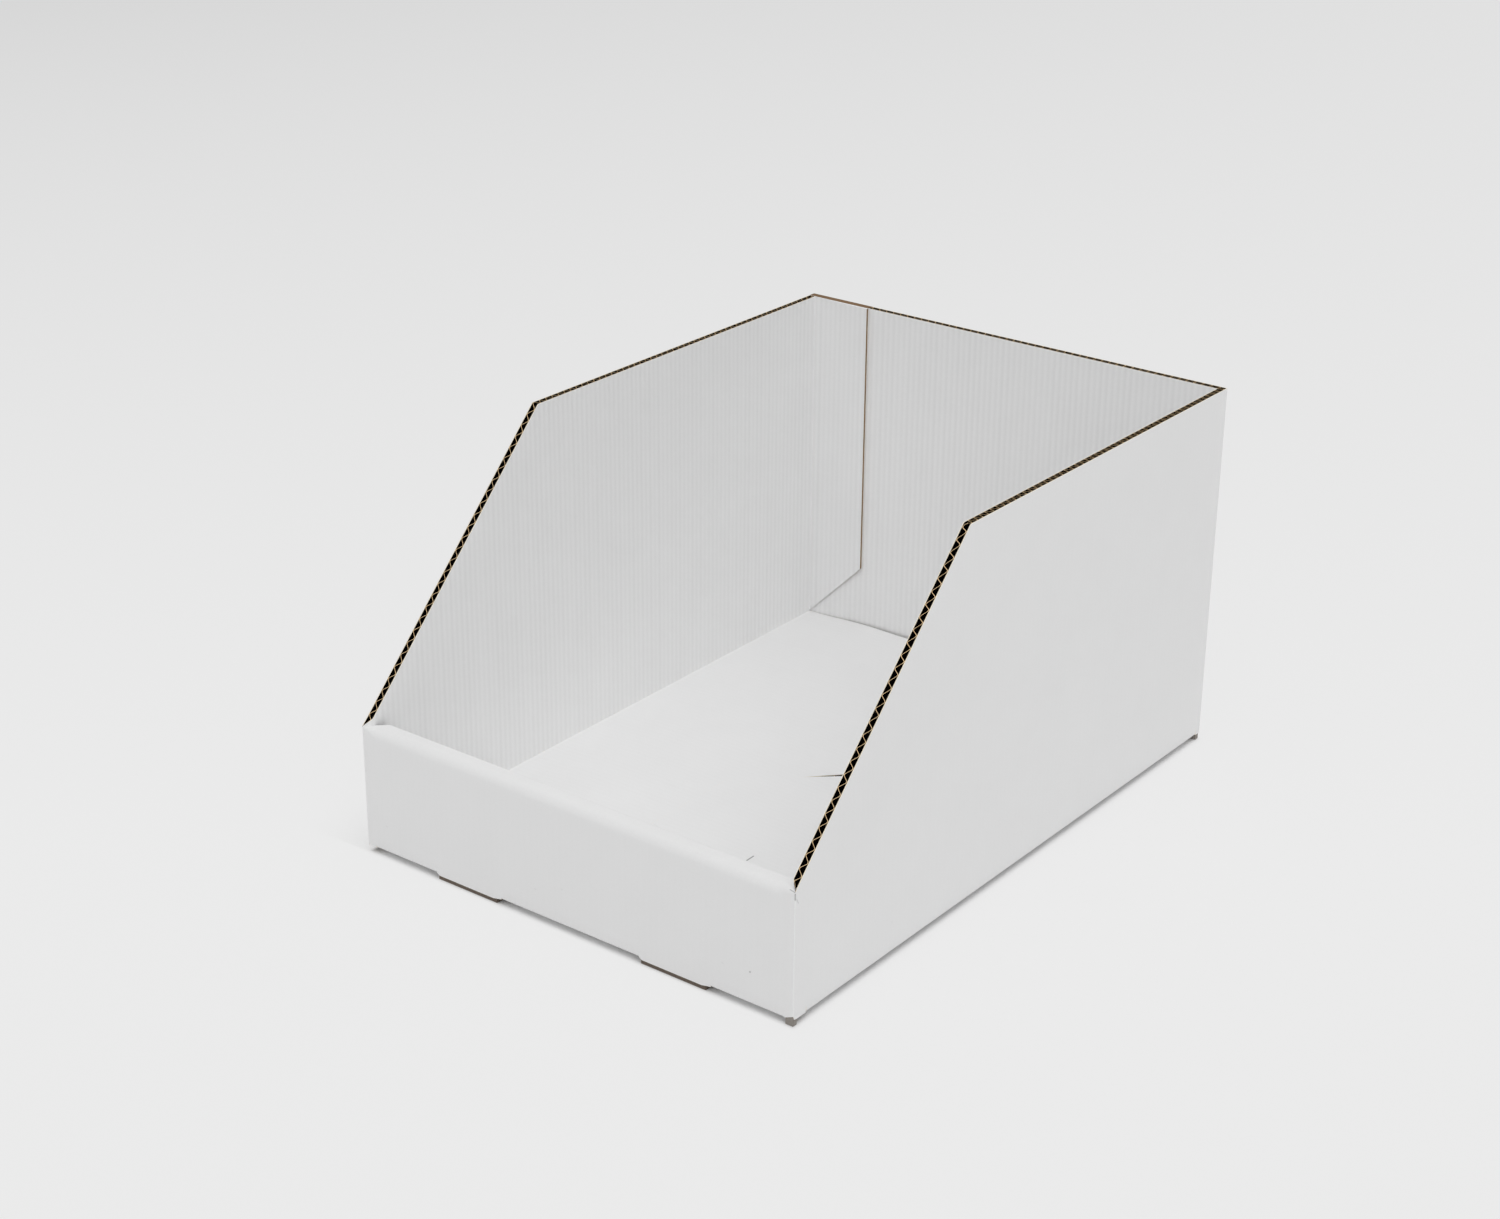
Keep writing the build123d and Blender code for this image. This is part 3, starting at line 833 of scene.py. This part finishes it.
def sweep_material():
    """Pale paper: near the box the diffuse floor takes its shadow, further out a plain tone is seen.

    The plain tone darkens with depth times (1 - x / 2), in axes turned by TABLE_TURN. Its share rises
    smoothly with the distance past the nearest side of the box; on the left this counts only a little.
    """
    material = bpy.data.materials.new("pale_sweep")
    material.use_nodes = True
    tree = material.node_tree
    tree.nodes.clear()
    link = tree.links.new
    place = tree.nodes.new("ShaderNodeTexCoord")
    turn = tree.nodes.new("ShaderNodeMapping")
    turn.inputs["Rotation"].default_value = (0.0, 0.0, radians(TABLE_TURN))
    split = tree.nodes.new("ShaderNodeSeparateXYZ")
    depth = tree.nodes.new("ShaderNodeMapRange")
    depth.inputs["From Min"].default_value = TONE_START
    depth.inputs["From Max"].default_value = TONE_END
    lean = math_node(tree, "MULTIPLY_ADD", split.outputs["X"], TONE_LEAN, 1.0)
    leaning = math_node(tree, "MULTIPLY", depth.outputs[0], lean)
    tone = tree.nodes.new("ShaderNodeValToRGB")
    tone.color_ramp.elements[0].color = linear(236, 236, 236)
    tone.color_ramp.elements[1].color = linear(212, 212, 212)
    glow = tree.nodes.new("ShaderNodeEmission")
    link(place.outputs["Object"], turn.inputs["Vector"])
    link(turn.outputs["Vector"], split.inputs["Vector"])
    link(split.outputs["Y"], depth.inputs["Value"])
    link(leaning, tone.inputs["Fac"])
    link(tone.outputs["Color"], glow.inputs["Color"])
    sides = tree.nodes.new("ShaderNodeSeparateXYZ")
    link(place.outputs["Object"], sides.inputs[0])
    past_right = math_node(tree, "SUBTRACT", sides.outputs["X"], OUT_X * MM)
    past_left = math_node(tree, "MULTIPLY_ADD", sides.outputs["X"], -1.0, -OUT_X * MM)
    spread_left = math_node(tree, "MULTIPLY", past_left, LEFT_SHADE_SHARE)
    near_left = math_node(tree, "MINIMUM", past_left, spread_left)
    beside = math_node(tree, "MAXIMUM", past_right, near_left)
    along_depth = math_node(tree, "ABSOLUTE", sides.outputs["Y"])
    past_end = math_node(tree, "SUBTRACT", along_depth, OUT_Y * MM)
    away = math_node(tree, "MAXIMUM", beside, past_end)
    share = tree.nodes.new("ShaderNodeMapRange")
    share.interpolation_type = "SMOOTHSTEP"
    share.inputs["From Min"].default_value = SHADE_INNER
    share.inputs["From Max"].default_value = SHADE_OUTER
    share.inputs["To Max"].default_value = PLAIN_SHARE
    link(away, share.inputs["Value"])
    seen = tree.nodes.new("ShaderNodeLightPath")
    mirrored = math_node(tree, "ADD", seen.outputs["Is Camera Ray"], seen.outputs["Is Glossy Ray"])
    passed = math_node(tree, "ADD", mirrored, seen.outputs["Is Transmission Ray"])
    passed.node.use_clamp = True
    diffuse = tree.nodes.new("ShaderNodeBsdfDiffuse")
    diffuse.inputs["Color"].default_value = linear(243, 243, 243)
    mix = tree.nodes.new("ShaderNodeMixShader")
    result = tree.nodes.new("ShaderNodeOutputMaterial")
    link(math_node(tree, "MULTIPLY", passed, share.outputs[0]), mix.inputs["Fac"])
    link(diffuse.outputs[0], mix.inputs[1])
    link(glow.outputs[0], mix.inputs[2])
    link(mix.outputs[0], result.inputs["Surface"])
    return material


table_mesh = bpy.data.meshes.new("table")
table_corners = np.array([[-1, -1, 0], [1, -1, 0], [1, 1, 0], [-1, 1, 0]]) * TABLE_HALF
table_corners[:, 2] -= TABLE_DROP
table_mesh.from_pydata(table_corners.tolist(), [], [(0, 1, 2, 3)])
table_mesh.materials.append(sweep_material())
table = bpy.data.objects.new("table", table_mesh)
bpy.context.scene.collection.objects.link(table)

world = bpy.data.worlds.new("studio_sky")
bpy.context.scene.world = world
world.use_nodes = True
world.node_tree.nodes["Background"].inputs["Color"].default_value = (1.0, 1.0, 1.0, 1.0)
world.node_tree.nodes["Background"].inputs["Strength"].default_value = SKY_STRENGTH

lamps = [
    ("key_softbox", (0.7, -0.7, 1.0), 0.60),
    ("front_softbox", (0.0, -0.5, 1.0), 0.30),
    ("right_softbox", (0.5, 0.0, 1.0), 0.28),
    ("back_fill", (0.0, 1.0, 1.0), 0.38),
    ("left_fill", (-1.0, 0.0, 1.0), 0.10),
]
for lamp_name, towards, strength in lamps:
    lamp_data = bpy.data.lights.new(lamp_name, "SUN")
    lamp_data.energy = strength
    lamp_data.angle = radians(LAMP_ANGLE)
    lamp = bpy.data.objects.new(lamp_name, lamp_data)
    lamp.rotation_euler = Vector(towards).to_track_quat("Z", "Y").to_euler()
    bpy.context.scene.collection.objects.link(lamp)
bpy.context.scene.view_settings.view_transform = "Standard"


# Camera. It stands to the right in front of the box and looks down on it by 24 degrees, with a
# moderate long lens.
CAMERA_STAND = (0.558563, -0.767267, 0.494250)
camera_data = bpy.data.cameras.new("camera")
camera_data.sensor_width = 36.0
camera_data.lens = 64.82
camera_data.clip_end = 50.0
camera = bpy.data.objects.new("camera", camera_data)
forward = Vector((-0.555371, 0.728279, -0.401463)).normalized()
right = Vector((0.793102, 0.609040, 0.007686)).normalized()
up = right.cross(forward).normalized()
turned = Matrix((right, up, -forward)).transposed().to_4x4()
camera.matrix_world = Matrix.Translation(CAMERA_STAND) @ turned
bpy.context.scene.collection.objects.link(camera)
bpy.context.scene.camera = camera
